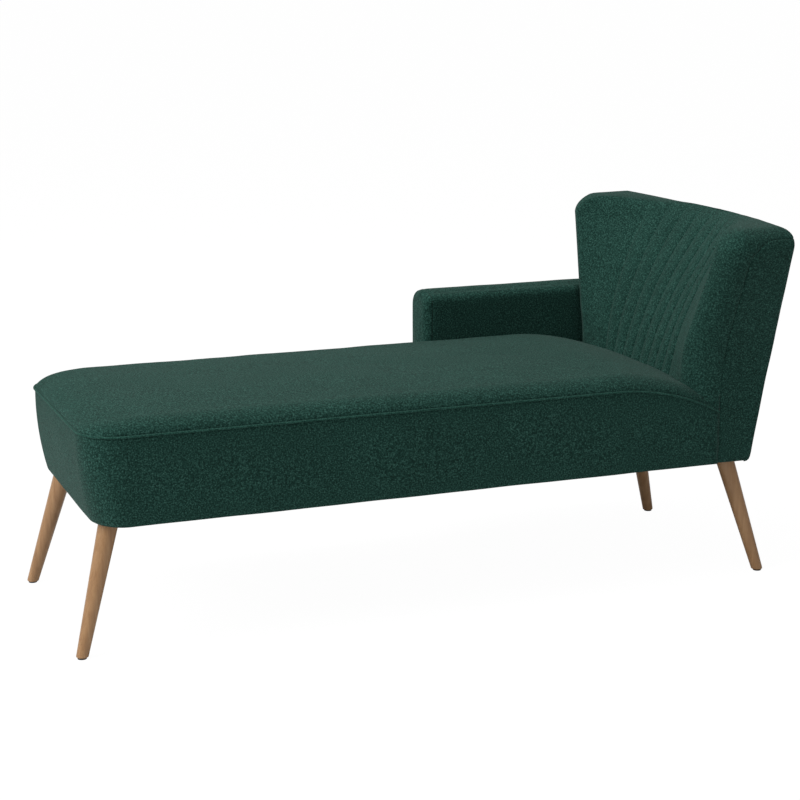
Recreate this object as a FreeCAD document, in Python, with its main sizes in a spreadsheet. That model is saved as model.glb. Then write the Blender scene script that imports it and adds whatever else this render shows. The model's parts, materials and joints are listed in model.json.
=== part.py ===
import FreeCAD, Part
import math
import os

from FreeCAD import Placement, Rotation, Vector

# Chaise longue with one arm, in millimetres. +X runs from the foot end to the back, the open side
# is at -Y and the arm at +Y, +Z is up. The origin is on the floor under the middle of the outline.

document = FreeCAD.newDocument("chaise_longue")
sizes = document.addObject("Spreadsheet::Sheet", "sizes")

driving_sizes = {
    # outside of the upholstery
    "overall_width": 744,
    "seat_width": 556,
    "body_length": 1463,
    "underside_height": 262,
    "foot_tip_reach": 27,
    "foot_end_lean": 20,
    "foot_corner_radius": 80,
    # seat cushion
    "border_height": 180,
    "crown_rise": 38,
    "shoulder_rise": 30,
    "shoulder_run": 50,
    "end_shoulder_run": 130,
    "end_edge_share": 0.06,
    "dip_length": 250,
    "dip_depth": 64,
    "welt_radius": 2.5,
    "welt_overlap": 0.8,
    # back
    "back_height": 523,
    "back_overhang": 87,
    "back_flare_start": 165,
    "flare_soft_share": 0.4,
    "back_corner_radius": 45,
    "cap_depth": 24,
    "rear_bow": 4,
    "rear_hollow": 59,
    "rear_roll": 32,
    "seam_setback": 85,
    "seam_turn_radius": 60,
    "front_setback": 140,
    "front_lean": 0.236,
    "front_curve": 0.00082,
    "wing_setback": 156,
    "wing_lean": 0.1,
    "wing_lean_start": 268,
    "wing_roll": 60,
    "wing_round": 50,
    "crease_height": 168,
    # sewn channels of the back
    "channel_count": 8,
    "channel_pitch": 36.75,
    "channel_fan": 0.3,
    "channel_depth": 5,
    "channel_fade": 60,
    "channel_least_depth": 0.6,
    # arm
    "arm_length": 537,
    "arm_height": 315,
    "arm_rear_gap": 6,
    "arm_edge_radius": 20,
    "arm_crown": 6,
    "arm_gap": 0.5,
    "arm_back_gap": 1.0,
    "arm_front_seam": 18,
    "arm_top_padding": 28,
    "arm_side_padding": 8,
    "arm_front_padding": 14,
    "arm_rail_thickness": 22,
    "arm_board_thickness": 3,
    "arm_post_depth": 30,
    # layers
    "cover_thickness": 2,
    "wadding_thickness": 8,
    "base_padding": 10,
    "dust_cover_thickness": 1,
    "dust_cover_margin": 6,
    "back_board_thickness": 3,
    "felt_thickness": 5,
    "soft_gap": 0.3,
    # seat frame
    "rail_height": 90,
    "side_rail_thickness": 25,
    "end_rail_thickness": 45,
    "cross_rail_height": 45,
    "cross_rail_thickness": 25,
    # zigzag springs
    "spring_wire_radius": 2,
    "spring_loop_width": 46,
    "spring_loop_radius": 11,
    "spring_count": 10,
    "spring_pitch": 124,
    "spring_end_inset": 100,
    "clip_length": 18,
    "clip_width": 22,
    "clip_thickness": 1.5,
    # back frame
    "post_thickness": 25,
    "post_front_gap": 4,
    "post_top_height": 473,
    "post_top_spread": 60,
    "back_rail_thickness": 22,
    "back_rail_height": 45,
    "webbing_gap": 0.5,
    "board_gap": 0.5,
    "lower_rail_height": 130,
    "middle_rail_height": 298,
    "webbing_count": 5,
    "webbing_width": 50,
    "webbing_pitch": 80,
    "webbing_thickness": 1.5,
    # legs and fittings
    "leg_top_radius": 20,
    "leg_foot_radius": 12,
    "leg_foot_round": 2.5,
    "leg_end_allowance": 12,
    "leg_splay_length": 72,
    "leg_splay_side": 43,
    "leg_inset_head": 30,
    "leg_inset_side": 69,
    "glide_radius": 9,
    "glide_thickness": 3,
    "glide_pin_radius": 1.5,
    "glide_pin_length": 14,
    "leg_plate_radius": 26,
    "leg_plate_thickness": 3,
    "plate_hole_margin": 2,
    "plate_screw_circle": 18,
    "screw_radius": 2,
    "screw_head_radius": 3.6,
    "screw_head_height": 2,
    "screw_length": 25,
    "bolt_radius": 4,
    "bolt_in_leg": 40,
    "bolt_in_rail": 35,
    "bolt_head_radius": 9,
    "bolt_head_height": 5,
    "nut_radius": 6,
    "nut_length": 15,
    "back_bolt_spacing": 44,
    "back_bolt_inset": 14,
    "arm_bolt_start": 75,
    "arm_bolt_pitch": 110,
    "thread_clearance": 0.1,
    "hole_clearance": 0.3,
}

for row, (name, value) in enumerate(driving_sizes.items(), start=1):
    sizes.set("A" + str(row), name.replace("_", " "))
    sizes.set("B" + str(row), str(value))
    sizes.setAlias("B" + str(row), name)
document.recompute()


def number(expression):
    """The value of an expression over the sheet, for shapes that are worked out in code."""
    return float(sizes.evalExpression(expression))


def size(name):
    return number("sizes." + name)


# Places that several pieces share, as expressions over the sheet.
foot_face = "(sizes.foot_tip_reach - sizes.body_length - sizes.back_overhang) / 2"
rear_face = "(sizes.foot_tip_reach + sizes.body_length - sizes.back_overhang) / 2"
seam_line = rear_face + " - sizes.seam_setback"
skin_to_frame = "(sizes.cover_thickness + sizes.base_padding)"
frame_foot = foot_face + " + sizes.foot_end_lean + " + skin_to_frame
frame_rear = rear_face + " - " + skin_to_frame
frame_half = "(sizes.seat_width / 2 - " + skin_to_frame + ")"
rail_inner = "(" + frame_half + " - sizes.side_rail_thickness)"
post_inner = "(" + rail_inner + " - sizes.post_thickness)"
block_radius = "(sizes.foot_corner_radius - " + skin_to_frame + ")"
rail_bottom = "(sizes.underside_height + sizes.leg_plate_thickness)"
rail_top = "(" + rail_bottom + " + sizes.rail_height)"
felt_bottom = "(" + rail_top + " + 2 * (sizes.spring_wire_radius + sizes.clip_thickness))"
felt_top = "(" + felt_bottom + " + sizes.felt_thickness)"
arm_inner = "(sizes.seat_width / 2 + sizes.arm_gap)"
arm_outer = "(sizes.overall_width / 2)"
arm_rear = rear_face + " - sizes.arm_rear_gap"
arm_front = arm_rear + " - sizes.arm_length"
arm_top = "(sizes.underside_height + sizes.arm_height)"
arm_frame_inner = "(" + arm_inner + " + sizes.cover_thickness + sizes.arm_side_padding)"
arm_frame_outer = "(" + arm_outer + " - sizes.cover_thickness - sizes.arm_side_padding)"
arm_frame_front = arm_front + " + sizes.cover_thickness + sizes.arm_front_padding"
arm_frame_rear = rear_face + " - sizes.wing_setback - sizes.arm_side_padding"
arm_frame_top = arm_top + " - sizes.cover_thickness - sizes.arm_top_padding"

x_foot = number(foot_face)
x_rear = number(rear_face)
x_seam = number(seam_line)
z_under = size("underside_height")
z_back_top = z_under + size("back_height")
seat_half = size("seat_width") / 2
cover = size("cover_thickness")
soft_gap = size("soft_gap")

sub_parts = []


def keep(thing, label):
    """Names a finished sub-part and puts it on the list that is written out."""
    thing.Label = label
    sub_parts.append(thing)
    return thing


def feature(label, shape):
    """A sub-part whose shape is worked out in code."""
    thing = document.addObject("Part::Feature", label)
    thing.Shape = shape
    thing.Placement = Placement(Vector(0, 0, 0), Rotation())
    return keep(thing, label)


def bind(thing, **expressions):
    for name, expression in expressions.items():
        thing.setExpression(name, expression)


def place(thing, x, y, z):
    thing.setExpression("Placement.Base.x", x)
    thing.setExpression("Placement.Base.y", y)
    thing.setExpression("Placement.Base.z", z)


def box(name, x, y, z):
    """A box between pairs of expressions."""
    thing = document.addObject("Part::Box", name)
    bind(
        thing,
        Length="(" + x[1] + ") - (" + x[0] + ")",
        Width="(" + y[1] + ") - (" + y[0] + ")",
        Height="(" + z[1] + ") - (" + z[0] + ")",
    )
    place(thing, x[0], y[0], z[0])
    return thing


def cut(name, base, tools):
    thing = document.addObject("Part::Cut", name)
    thing.Base = base
    if len(tools) == 1:
        thing.Tool = tools[0]
    else:
        joined = document.addObject("Part::MultiFuse", name + "_tools")
        joined.Shapes = tools
        thing.Tool = joined
    return thing


def group(name, things):
    """Several like solids that share one sub-part."""
    thing = document.addObject("Part::Compound", name)
    thing.Links = things
    return thing


def line(start, end):
    return Part.LineSegment(start, end).toShape()


def arc(start, middle, end):
    return Part.Arc(start, middle, end).toShape()


def prism_between(points, y_low, y_high):
    """A solid with a closed side-view outline, from y_low to y_high."""
    outline = Part.makePolygon([Vector(p.x, y_low, p.z) for p in points + points[:1]])
    return Part.Face(outline).extrude(Vector(0, y_high - y_low, 0))


# Seat cushion: its outer form, and the same form drawn in by a layer's thickness.

corner_radius = size("foot_corner_radius")
z_welt = z_under + size("border_height")
dip_start = x_seam - size("dip_length")
dip_radius = (size("dip_length") ** 2 + size("dip_depth") ** 2) / (2 * size("dip_depth"))


def welt_height(x):
    """The seam round the seat is level, and falls along an arc towards the back."""
    run = max(x - dip_start, 0)
    return z_welt - dip_radius + math.sqrt(dip_radius ** 2 - run ** 2)


def quarter(share):
    """Height of a quarter round at a share of its run from the outer edge."""
    return math.sqrt(max(1 - (1 - min(share, 1)) ** 2, 0))


def seat_section(reach, inset, bottom):
    x = x_foot + inset + reach
    radius = corner_radius - inset
    half = seat_half - inset - radius * (1 - quarter(reach / radius))
    welt = welt_height(x) - inset
    rise = max(quarter(reach / size("end_shoulder_run")), size("end_edge_share"))
    shoulder = size("shoulder_rise") * rise
    crown = size("crown_rise") * rise
    run = size("shoulder_run")
    lean = size("foot_end_lean") * max(1 - reach / (1.5 * radius), 0) / size("border_height")

    def point(y, z):
        return Vector(x + lean * (welt - z), y, z)

    round_y = run * (1 - math.cos(math.pi / 4))
    round_z = shoulder * math.sin(math.pi / 4)
    near = [point(-half, bottom), point(-half, welt)]
    near += [point(-half + round_y, welt + round_z), point(-half + run, welt + shoulder)]
    far = [point(half - run, welt + shoulder), point(half - round_y, welt + round_z)]
    far += [point(half, welt), point(half, bottom)]
    return Part.Wire([
        line(near[0], near[1]),
        arc(near[1], near[2], near[3]),
        arc(near[3], point(0, welt + crown), far[0]),
        arc(far[0], far[1], far[2]),
        line(far[2], far[3]),
        line(far[3], near[0]),
    ])


def joined(pieces):
    """One solid from pieces that meet face to face."""
    return pieces[0].multiFuse(pieces[1:]).Solids[0]


def seat_body(inset, bottom, past_seam=0):
    """The seat from the foot end to the side seam, or a little past it."""
    radius = corner_radius - inset
    foot_run = size("end_shoulder_run")
    reaches = [radius * share for share in (0, 0.06, 0.25, 0.6, 1)]
    reaches += [foot_run * 0.85, foot_run]
    foot_end = Part.makeLoft([seat_section(r, inset, bottom) for r in reaches], True, False)

    start = dip_start - x_foot - inset
    straight = Part.Face(seat_section(foot_run, inset, bottom)).extrude(Vector(start - foot_run, 0, 0))

    steps = 5
    step_length = (size("dip_length") + past_seam) / steps
    dip_reaches = [start + step_length * step for step in range(steps + 1)]
    dip = Part.makeLoft([seat_section(r, inset, bottom) for r in dip_reaches], True, False)
    return joined([foot_end, straight, dip])


# Back: its outer form, which leans back, flares outwards and is hollowed in plan.

z_flare = z_under + size("back_flare_start")
z_corner = z_back_top - size("back_corner_radius")
z_crease = z_under + size("crease_height")
z_cap_seam = z_back_top - size("cap_depth")
back_slope = size("back_overhang") / (z_corner - z_under)


def flare_share(z):
    """0 below the flare, 1 at the upper corners, with a soft start."""
    share = min(max((z - z_flare) / (z_corner - z_flare), 0), 1)
    soft = size("flare_soft_share")
    if share < soft:
        return share ** 2 / (2 * soft) / (1 - soft / 2)
    return (share - soft / 2) / (1 - soft / 2)


def back_half(z):
    """Half of the back's width at a height, with its rounded upper corners."""
    half = seat_half + (size("overall_width") / 2 - seat_half) * flare_share(z)
    return half - size("back_corner_radius") * roll_share(z)


def roll_share(z):
    """How far the top edge has rolled over: 0 below the upper corners, 1 at the top."""
    share = min(max((z - z_corner) / (z_back_top - z_corner), 0), 1)
    return 1 - math.sqrt(1 - share ** 2)


def rear_centre(z):
    return x_rear + back_slope * (z - z_under) - size("rear_roll") * roll_share(z)


def rear_at(y, z):
    """The rear face is bowed backwards, the more the higher up."""
    hollow = size("rear_bow") + size("rear_hollow") * flare_share(z)
    return rear_centre(z) - hollow * (y / back_half(z)) ** 2


def front_centre(z):
    up = z - z_crease
    return x_rear - size("front_setback") + size("front_lean") * up + size("front_curve") * up ** 2


def wing_front(z):
    up = max(z - z_under - size("wing_lean_start"), 0)
    lean = size("wing_lean") * up + size("wing_roll") * roll_share(z)
    return x_rear - size("wing_setback") + lean


def channel_seams(z):
    """Places across the back of the sewn seams, which fan out upwards."""
    spread = 1 + size("channel_fan") * max(z - z_crease, 0) / (z_back_top - z_crease)
    count = int(size("channel_count"))
    return [size("channel_pitch") * spread * (i - count / 2) for i in range(count + 1)]


def channel_depth(z):
    left = min((z_back_top - z) / size("channel_fade"), 1)
    return max(size("channel_depth") * left, size("channel_least_depth"))


def back_section(z, inset):
    half = back_half(z) - inset
    wing_y = back_half(z) - size("wing_round")
    tip = wing_front(z) + inset
    middle = front_centre(z) + inset
    rear = rear_centre(z) - inset
    corner = rear_at(back_half(z), z) - inset
    seam = min(x_seam, (tip + corner) / 2)
    sunk = channel_depth(z)

    def point(x, y):
        return Vector(x, y, z - inset * (z - z_under) / size("back_height"))

    def front(y, depth=0):
        return point(middle + (tip - middle) * (y / wing_y) ** 2 + depth, y)

    def rounding(side):
        share = math.sin(math.pi / 4)
        return point(seam - (seam - tip) * share, side * (wing_y + (half - wing_y) * share))

    seams = channel_seams(z)
    edges = [arc(point(corner, half), point(rear, 0), point(corner, -half))]
    edges.append(line(point(corner, -half), point(seam, -half)))
    edges.append(arc(point(seam, -half), rounding(-1), front(-wing_y)))
    edges.append(arc(front(-wing_y), front((seams[0] - wing_y) / 2), front(seams[0], sunk)))
    for low, high in zip(seams[:-1], seams[1:]):
        edges.append(arc(front(low, sunk), front((low + high) / 2), front(high, sunk)))
    edges.append(arc(front(seams[-1], sunk), front((seams[-1] + wing_y) / 2), front(wing_y)))
    edges.append(arc(front(wing_y), rounding(1), point(seam, half)))
    edges.append(line(point(seam, half), point(corner, half)))
    return Part.Wire(edges)


def back_body(inset):
    steps = 11
    levels = [z_under + (z_corner - z_under) * step / steps for step in range(steps + 1)]
    radius = size("back_corner_radius")
    levels += [z_corner + radius * math.sin(math.radians(a)) for a in (25, 45, 62, 77, 90)]
    return Part.makeLoft([back_section(z, inset) for z in levels], True, False)


def rear_band(levels, half_at, near, far):
    """A curved slab that follows the rear face, from a depth near to a depth far inside it."""

    def section(z):
        half = half_at(z)
        side = rear_at(half, z)
        middle = rear_centre(z)
        corners = [Vector(side - depth, y, z) for depth in (near, far) for y in (-half, half)]
        return Part.Wire([
            arc(corners[0], Vector(middle - near, 0, z), corners[1]),
            line(corners[1], corners[3]),
            arc(corners[3], Vector(middle - far, 0, z), corners[2]),
            line(corners[2], corners[0]),
        ])

    return Part.makeLoft([section(z) for z in levels], True, True)


def stacked(outlines):
    """A solid through level four-cornered outlines, given as lists of points."""
    wires = [Part.makePolygon(points + points[:1]) for points in outlines]
    return Part.makeLoft(wires, True, True)


# Seat frame: two side rails, rounded corner blocks at the foot end, end rails and cross rails.

z_rail_bottom = number(rail_bottom)
z_rail_top = number(rail_top)
straight_start = frame_foot + " + " + block_radius
block_side = "(" + frame_half + " - " + block_radius + ")"


def frame_prism(grow, z_low, z_high):
    """The outline of the whole seat frame with its rounded foot corners."""
    radius = number(block_radius) + grow
    x_low = number(frame_foot) - grow
    x_high = number(frame_rear) + grow
    half = number(frame_half) + grow
    bevel = radius * (1 - math.cos(math.pi / 4))

    def point(x, y):
        return Vector(x, y, z_low)

    outline = Part.Wire([
        line(point(x_high, -half), point(x_high, half)),
        line(point(x_high, half), point(x_low + radius, half)),
        arc(
            point(x_low + radius, half),
            point(x_low + bevel, half - bevel),
            point(x_low, half - radius),
        ),
        line(point(x_low, half - radius), point(x_low, radius - half)),
        arc(
            point(x_low, radius - half),
            point(x_low + bevel, bevel - half),
            point(x_low + radius, -half),
        ),
        line(point(x_low + radius, -half), point(x_high, -half)),
    ])
    return Part.Face(outline).extrude(Vector(0, 0, z_high - z_low))


# Legs with their glides, hanger bolts, plates and screws. Each corner has the sign of its x and y.

corners = {"foot_open": (-1, -1), "foot_arm": (-1, 1), "head_open": (1, -1), "head_arm": (1, 1)}
leg_drop = "(sizes.underside_height - sizes.glide_thickness)"
leg_length = "sqrt(sizes.leg_splay_length ^ 2 + sizes.leg_splay_side ^ 2 + " + leg_drop + " ^ 2)"
leg_growth = "(sizes.leg_top_radius - sizes.leg_foot_radius) * sizes.leg_end_allowance / " + leg_length
leg_side = "(sizes.seat_width / 2 - sizes.leg_inset_side)"
leg_top_foot = foot_face + " - sizes.foot_tip_reach + sizes.leg_foot_radius + sizes.leg_splay_length"
leg_top_head = rear_face + " - sizes.leg_inset_head"
upright = Rotation()
along_y = Rotation(Vector(1, 0, 0), -90)


def tube(name, radius, height, x, y, z, rotation=upright):
    """A cylinder whose first end is at x, y, z."""
    thing = document.addObject("Part::Cylinder", name)
    bind(thing, Radius=radius, Height=height)
    thing.Placement = Placement(Vector(0, 0, 0), rotation)
    place(thing, x, y, z)
    return thing


def fuse(name, things):
    thing = document.addObject("Part::MultiFuse", name)
    thing.Shapes = things
    return thing


def on_leg_axis(corner, distance):
    """The place on a leg's axis at a distance above its top end."""
    sign_x, sign_y = corners[corner]
    top_x = leg_top_head if sign_x > 0 else leg_top_foot
    share = "(" + distance + ") / " + leg_length
    return (
        top_x + " - (" + str(sign_x) + ") * sizes.leg_splay_length * " + share,
        "(" + str(sign_y) + ") * (" + leg_side + " - sizes.leg_splay_side * " + share + ")",
        "sizes.underside_height + " + leg_drop + " * " + share,
    )


def leg_rotation(corner):
    sign_x, sign_y = corners[corner]
    lean = Vector(-sign_x * size("leg_splay_length"), -sign_y * size("leg_splay_side"), number(leg_drop))
    return Rotation(Vector(0, 0, 1), lean)


glides = []
hanger_bolts = []
plates = []
plate_screws = []
bolt_holes = {}
screw_holes = {}
slab = box(
    "leg_slab",
    ("-sizes.body_length", "sizes.body_length"),
    ("-sizes.overall_width", "sizes.overall_width"),
    ("sizes.glide_thickness", "sizes.underside_height"),
)

for corner in corners:
    rotation = leg_rotation(corner)
    top_x, top_y, top_z = on_leg_axis(corner, "0")
    foot_x, foot_y, foot_z = on_leg_axis(corner, "-" + leg_length)

    cone = document.addObject("Part::Cone", "leg_cone_" + corner)
    bind(
        cone,
        Radius1="sizes.leg_foot_radius - " + leg_growth,
        Radius2="sizes.leg_top_radius + " + leg_growth,
        Height=leg_length + " + 2 * sizes.leg_end_allowance",
    )
    cone.Placement = Placement(Vector(0, 0, 0), rotation)
    place(cone, *on_leg_axis(corner, "-" + leg_length + " - sizes.leg_end_allowance"))
    trimmed = document.addObject("Part::Common", "leg_trimmed_" + corner)
    trimmed.Base = cone
    trimmed.Tool = slab
    document.recompute()
    rounded = document.addObject("Part::Fillet", "leg_rounded_" + corner)
    rounded.Base = trimmed
    low_edges = [
        (number_of_edge, size("leg_foot_round"), size("leg_foot_round"))
        for number_of_edge, edge in enumerate(trimmed.Shape.Edges, start=1)
        if edge.BoundBox.ZMax < size("glide_thickness") + 1
    ]
    rounded.Edges = low_edges

    bolt_hole = tube(
        "bolt_hole_" + corner,
        "sizes.bolt_radius + sizes.hole_clearance",
        "sizes.bolt_in_leg + sizes.bolt_in_rail + 2 * sizes.hole_clearance",
        *on_leg_axis(corner, "-sizes.bolt_in_leg - sizes.hole_clearance"),
        rotation,
    )
    bolt_holes[corner] = bolt_hole
    pin_hole = tube(
        "pin_hole_" + corner,
        "sizes.glide_pin_radius + sizes.hole_clearance",
        "sizes.glide_pin_length + sizes.hole_clearance",
        foot_x, foot_y, foot_z,
    )
    keep(cut("leg_" + corner, rounded, [bolt_hole, pin_hole]), "leg_" + corner)
    hanger_bolts.append(tube(
        "hanger_bolt_" + corner,
        "sizes.bolt_radius",
        "sizes.bolt_in_leg + sizes.bolt_in_rail",
        *on_leg_axis(corner, "-sizes.bolt_in_leg"),
        rotation,
    ))
    glides.append(fuse("glide_" + corner, [
        tube("glide_disc_" + corner, "sizes.glide_radius", "sizes.glide_thickness", foot_x, foot_y, "0"),
        tube("glide_pin_" + corner, "sizes.glide_pin_radius", "sizes.glide_pin_length",
             foot_x, foot_y, foot_z),
    ]))

    # Three countersunk screws hold each plate.
    sign_x, sign_y = corners[corner]
    screw_holes[corner] = []
    for turn in (60, 180, 300):
        across = sign_x * math.cos(math.radians(turn))
        aside = sign_y * math.sin(math.radians(turn))
        x = top_x + " + sizes.plate_screw_circle * (" + str(round(across, 6)) + ")"
        y = top_y + " + sizes.plate_screw_circle * (" + str(round(aside, 6)) + ")"
        for kind, grow in (("screw", "0"), ("screw_hole", "sizes.hole_clearance")):
            name = kind + "_" + corner + "_" + str(turn)
            shank = tube(name + "_shank", "sizes.screw_radius + " + grow, "sizes.screw_length + " + grow,
                         x, y, "sizes.underside_height")
            head = document.addObject("Part::Cone", name + "_head")
            bind(
                head,
                Radius1="sizes.screw_head_radius + " + grow,
                Radius2="sizes.screw_radius + " + grow,
                Height="sizes.screw_head_height",
            )
            place(head, x, y, "sizes.underside_height")
            whole = fuse(name, [shank, head])
            if kind == "screw":
                plate_screws.append(whole)
            else:
                screw_holes[corner].append(whole)
    disc = tube("plate_disc_" + corner, "sizes.leg_plate_radius", "sizes.leg_plate_thickness",
                top_x, top_y, top_z)
    plates.append(cut("plate_" + corner, disc, [bolt_hole] + screw_holes[corner]))

keep(group("glide_set", glides), "glides")
keep(group("hanger_bolt_set", hanger_bolts), "hanger_bolts")
keep(group("plate_set", plates), "leg_plates")
keep(group("screw_set", plate_screws), "leg_plate_screws")


# Bolts: the back posts to the side rails, and the arm to the side rail on its side.

insert_nuts = []


def insert_nut(name, x, y, z):
    """A threaded sleeve along Y, and the hole it is screwed into."""
    body = tube(name + "_body", "sizes.nut_radius", "sizes.nut_length", x, y, z, along_y)
    bore = tube(name + "_bore", "sizes.bolt_radius + sizes.thread_clearance", "sizes.nut_length",
                x, y, z, along_y)
    insert_nuts.append(cut(name, body, [bore]))
    return tube(name + "_hole", "sizes.nut_radius + sizes.hole_clearance", "sizes.nut_length",
                x, y, z, along_y)


def cross_bolt(name, x, z, y_head, y_end, side):
    """A bolt along Y with its head towards the middle, and its hole."""
    if side > 0:
        shank_y = y_head
        head_y = "(" + y_head + ") - sizes.bolt_head_height"
    else:
        shank_y = "-(" + y_end + ")"
        head_y = "-(" + y_head + ")"
    length = "(" + y_end + ") - (" + y_head + ")"
    shank = tube(name + "_shank", "sizes.bolt_radius", length, x, shank_y, z, along_y)
    head = tube(name + "_head", "sizes.bolt_head_radius", "sizes.bolt_head_height", x, head_y, z, along_y)
    hole = tube(name + "_hole", "sizes.bolt_radius + sizes.hole_clearance", length, x, shank_y, z, along_y)
    return fuse(name, [shank, head]), hole


back_bolts = []
back_bolt_holes = {-1: [], 1: []}
back_nut_holes = {-1: [], 1: []}
back_bolt_x = seam_line + " + sizes.post_front_gap + sizes.back_bolt_inset"
for side, side_name in ((-1, "open"), (1, "arm")):
    for step in (-0.5, 0.5):
        name = "back_bolt_" + side_name + ("_low" if step < 0 else "_high")
        z = rail_bottom + " + sizes.rail_height / 2 + sizes.back_bolt_spacing * (" + str(step) + ")"
        bolt, hole = cross_bolt(name, back_bolt_x, z, post_inner, frame_half, side)
        nut_y = frame_half + " - sizes.nut_length" if side > 0 else "-" + frame_half
        back_bolts.append(bolt)
        back_bolt_holes[side].append(hole)
        back_nut_holes[side].append(insert_nut("nut_" + name, back_bolt_x, nut_y, z))

arm_bolts = []
arm_bolt_holes = []
arm_nut_holes = []
arm_rail_outer = "(" + arm_frame_inner + " + sizes.arm_rail_thickness)"
for step in range(3):
    name = "arm_bolt_" + str(step + 1)
    x = arm_frame_front + " + sizes.arm_bolt_start + sizes.arm_bolt_pitch * " + str(step)
    z = rail_bottom + " + sizes.rail_height / 2"
    bolt, hole = cross_bolt(name, x, z, rail_inner, arm_rail_outer, 1)
    arm_bolts.append(bolt)
    arm_bolt_holes.append(hole)
    arm_nut_holes.append(insert_nut("nut_" + name, x, arm_rail_outer + " - sizes.nut_length", z))

keep(group("back_bolt_set", back_bolts), "back_bolts")
keep(group("arm_bolt_set", arm_bolts), "arm_bolts")
keep(group("nut_set", insert_nuts), "insert_nuts")

rail_z = (rail_bottom, rail_top)
frame_y = (rail_inner, frame_half)
open_rail = box("open_rail", (straight_start, frame_rear), ("-" + frame_half, "-" + rail_inner), rail_z)
arm_rail = box("arm_rail", (straight_start, frame_rear), (rail_inner, frame_half), rail_z)
keep(cut("rail_open", open_rail, back_bolt_holes[-1] + back_nut_holes[-1]), "side_rail_open")
keep(
    cut("rail_arm", arm_rail, back_bolt_holes[1] + back_nut_holes[1] + arm_bolt_holes),
    "side_rail_arm",
)

for corner, turn in (("foot_open", 180), ("foot_arm", 90)):
    block = document.addObject("Part::Cylinder", "block_" + corner)
    bind(block, Radius=block_radius, Height="sizes.rail_height")
    block.Angle = 90
    block.Placement = Placement(Vector(0, 0, 0), Rotation(Vector(0, 0, 1), turn))
    side = "-" + block_side if corner == "foot_open" else block_side
    place(block, straight_start, side, rail_bottom)
    label = "foot_corner_block_" + corner.split("_")[1]
    keep(cut("corner_" + corner, block, [bolt_holes[corner]] + screw_holes[corner]), label)

foot_rail = box(
    "foot_rail_box",
    (frame_foot, frame_foot + " + sizes.end_rail_thickness"),
    ("-" + block_side, block_side),
    rail_z,
)
foot_screws = screw_holes["foot_open"] + screw_holes["foot_arm"]
keep(cut("foot_rail", foot_rail, foot_screws), "foot_rail")
head_rail = box(
    "head_rail_box",
    (frame_rear + " - sizes.end_rail_thickness", frame_rear),
    ("-" + post_inner, post_inner),
    rail_z,
)
head_screws = screw_holes["head_open"] + screw_holes["head_arm"]
head_bolt_holes = [bolt_holes["head_open"], bolt_holes["head_arm"]]
keep(cut("head_rail", head_rail, head_bolt_holes + head_screws), "head_rail")

bay = "(" + frame_rear + " - (" + frame_foot + ") - 2 * sizes.end_rail_thickness) / 3"
for step, end_name in ((1, "foot"), (2, "head")):
    middle = frame_foot + " + sizes.end_rail_thickness + " + bay + " * " + str(step)
    cross = box(
        "cross_" + end_name,
        (middle + " - sizes.cross_rail_thickness / 2", middle + " + sizes.cross_rail_thickness / 2"),
        ("-" + rail_inner, rail_inner),
        (rail_bottom, rail_bottom + " + sizes.cross_rail_height"),
    )
    keep(cross, "cross_rail_" + end_name)


# Zigzag springs across the side rails, their clips and the felt over them.

spring_z = z_rail_top + size("clip_thickness") + size("spring_wire_radius")
spring_reach = number("(" + rail_inner + " + " + frame_half + ") / 2")


def zigzag():
    """One flat spring: straight runs joined by half rounds."""
    radius = size("spring_loop_radius")
    run = size("spring_loop_width") / 2 - radius
    count = 2 * int(spring_reach / radius / 2) + 1
    radius = spring_reach / (count - 1)
    edges = []
    for step in range(count):
        y = -spring_reach + 2 * radius * step
        side = 1 if step % 2 == 0 else -1
        edges.append(line(Vector(-side * run, y, spring_z), Vector(side * run, y, spring_z)))
        if step < count - 1:
            edges.append(arc(
                Vector(side * run, y, spring_z),
                Vector(side * (run + radius), y + radius, spring_z),
                Vector(side * run, y + 2 * radius, spring_z),
            ))
    start = edges[0].Vertexes[0].Point
    circle = Part.Circle(start, Vector(1, 0, 0), size("spring_wire_radius")).toShape()
    return Part.Wire(edges).makePipeShell([Part.Wire([circle])], True, False)


spring_start = number(frame_foot) + size("spring_end_inset")
spring_places = [spring_start + size("spring_pitch") * i for i in range(int(size("spring_count")))]
one_spring = zigzag()
springs = []
for x in spring_places:
    spring = one_spring.copy()
    spring.translate(Vector(x, 0, 0))
    springs.append(spring)
feature("zigzag_springs", Part.makeCompound(springs))

clips = []
leaf = size("clip_thickness")
clip_height = 2 * (size("spring_wire_radius") + leaf)
for x in spring_places:
    for side in (-1, 1):
        y = side * spring_reach
        corner = Vector(x - size("clip_length") / 2, y - size("clip_width") / 2, z_rail_top)
        clip = Part.makeBox(size("clip_length"), size("clip_width"), clip_height, corner)
        slot = Part.makeBox(
            size("clip_length"), size("clip_width"), clip_height - 2 * leaf,
            corner + Vector(0, -side * leaf, leaf),
        )
        clips.append(clip.cut(slot))
feature("spring_clips", Part.makeCompound(clips))

z_felt = number(felt_bottom)
z_felt_top = number(felt_top)
wadding = size("wadding_thickness")
felt = frame_prism(-size("clip_thickness"), z_felt, z_felt_top)
seat_end = Part.makeBox(
    size("body_length"), size("overall_width"), size("back_height"),
    Vector(x_seam - wadding - 2 * cover, -size("overall_width") / 2, z_under),
)
feature("spring_felt", felt.cut(seat_end))


# Soft layers of the seat: foam on the felt, wadding over it, padding round the frame, the covers.

outer_seat = seat_body(0, z_under)
grown_seat = seat_body(-soft_gap, z_under - cover, soft_gap)
feature("seat_foam", seat_body(cover + wadding + soft_gap, z_felt_top + soft_gap, -wadding - soft_gap))
wadding_outer = seat_body(cover + soft_gap, z_rail_top + soft_gap, -soft_gap)
wadding_inner = seat_body(cover + wadding, z_rail_top - cover, -wadding)
feature("seat_wadding", wadding_outer.cut(wadding_inner))

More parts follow.
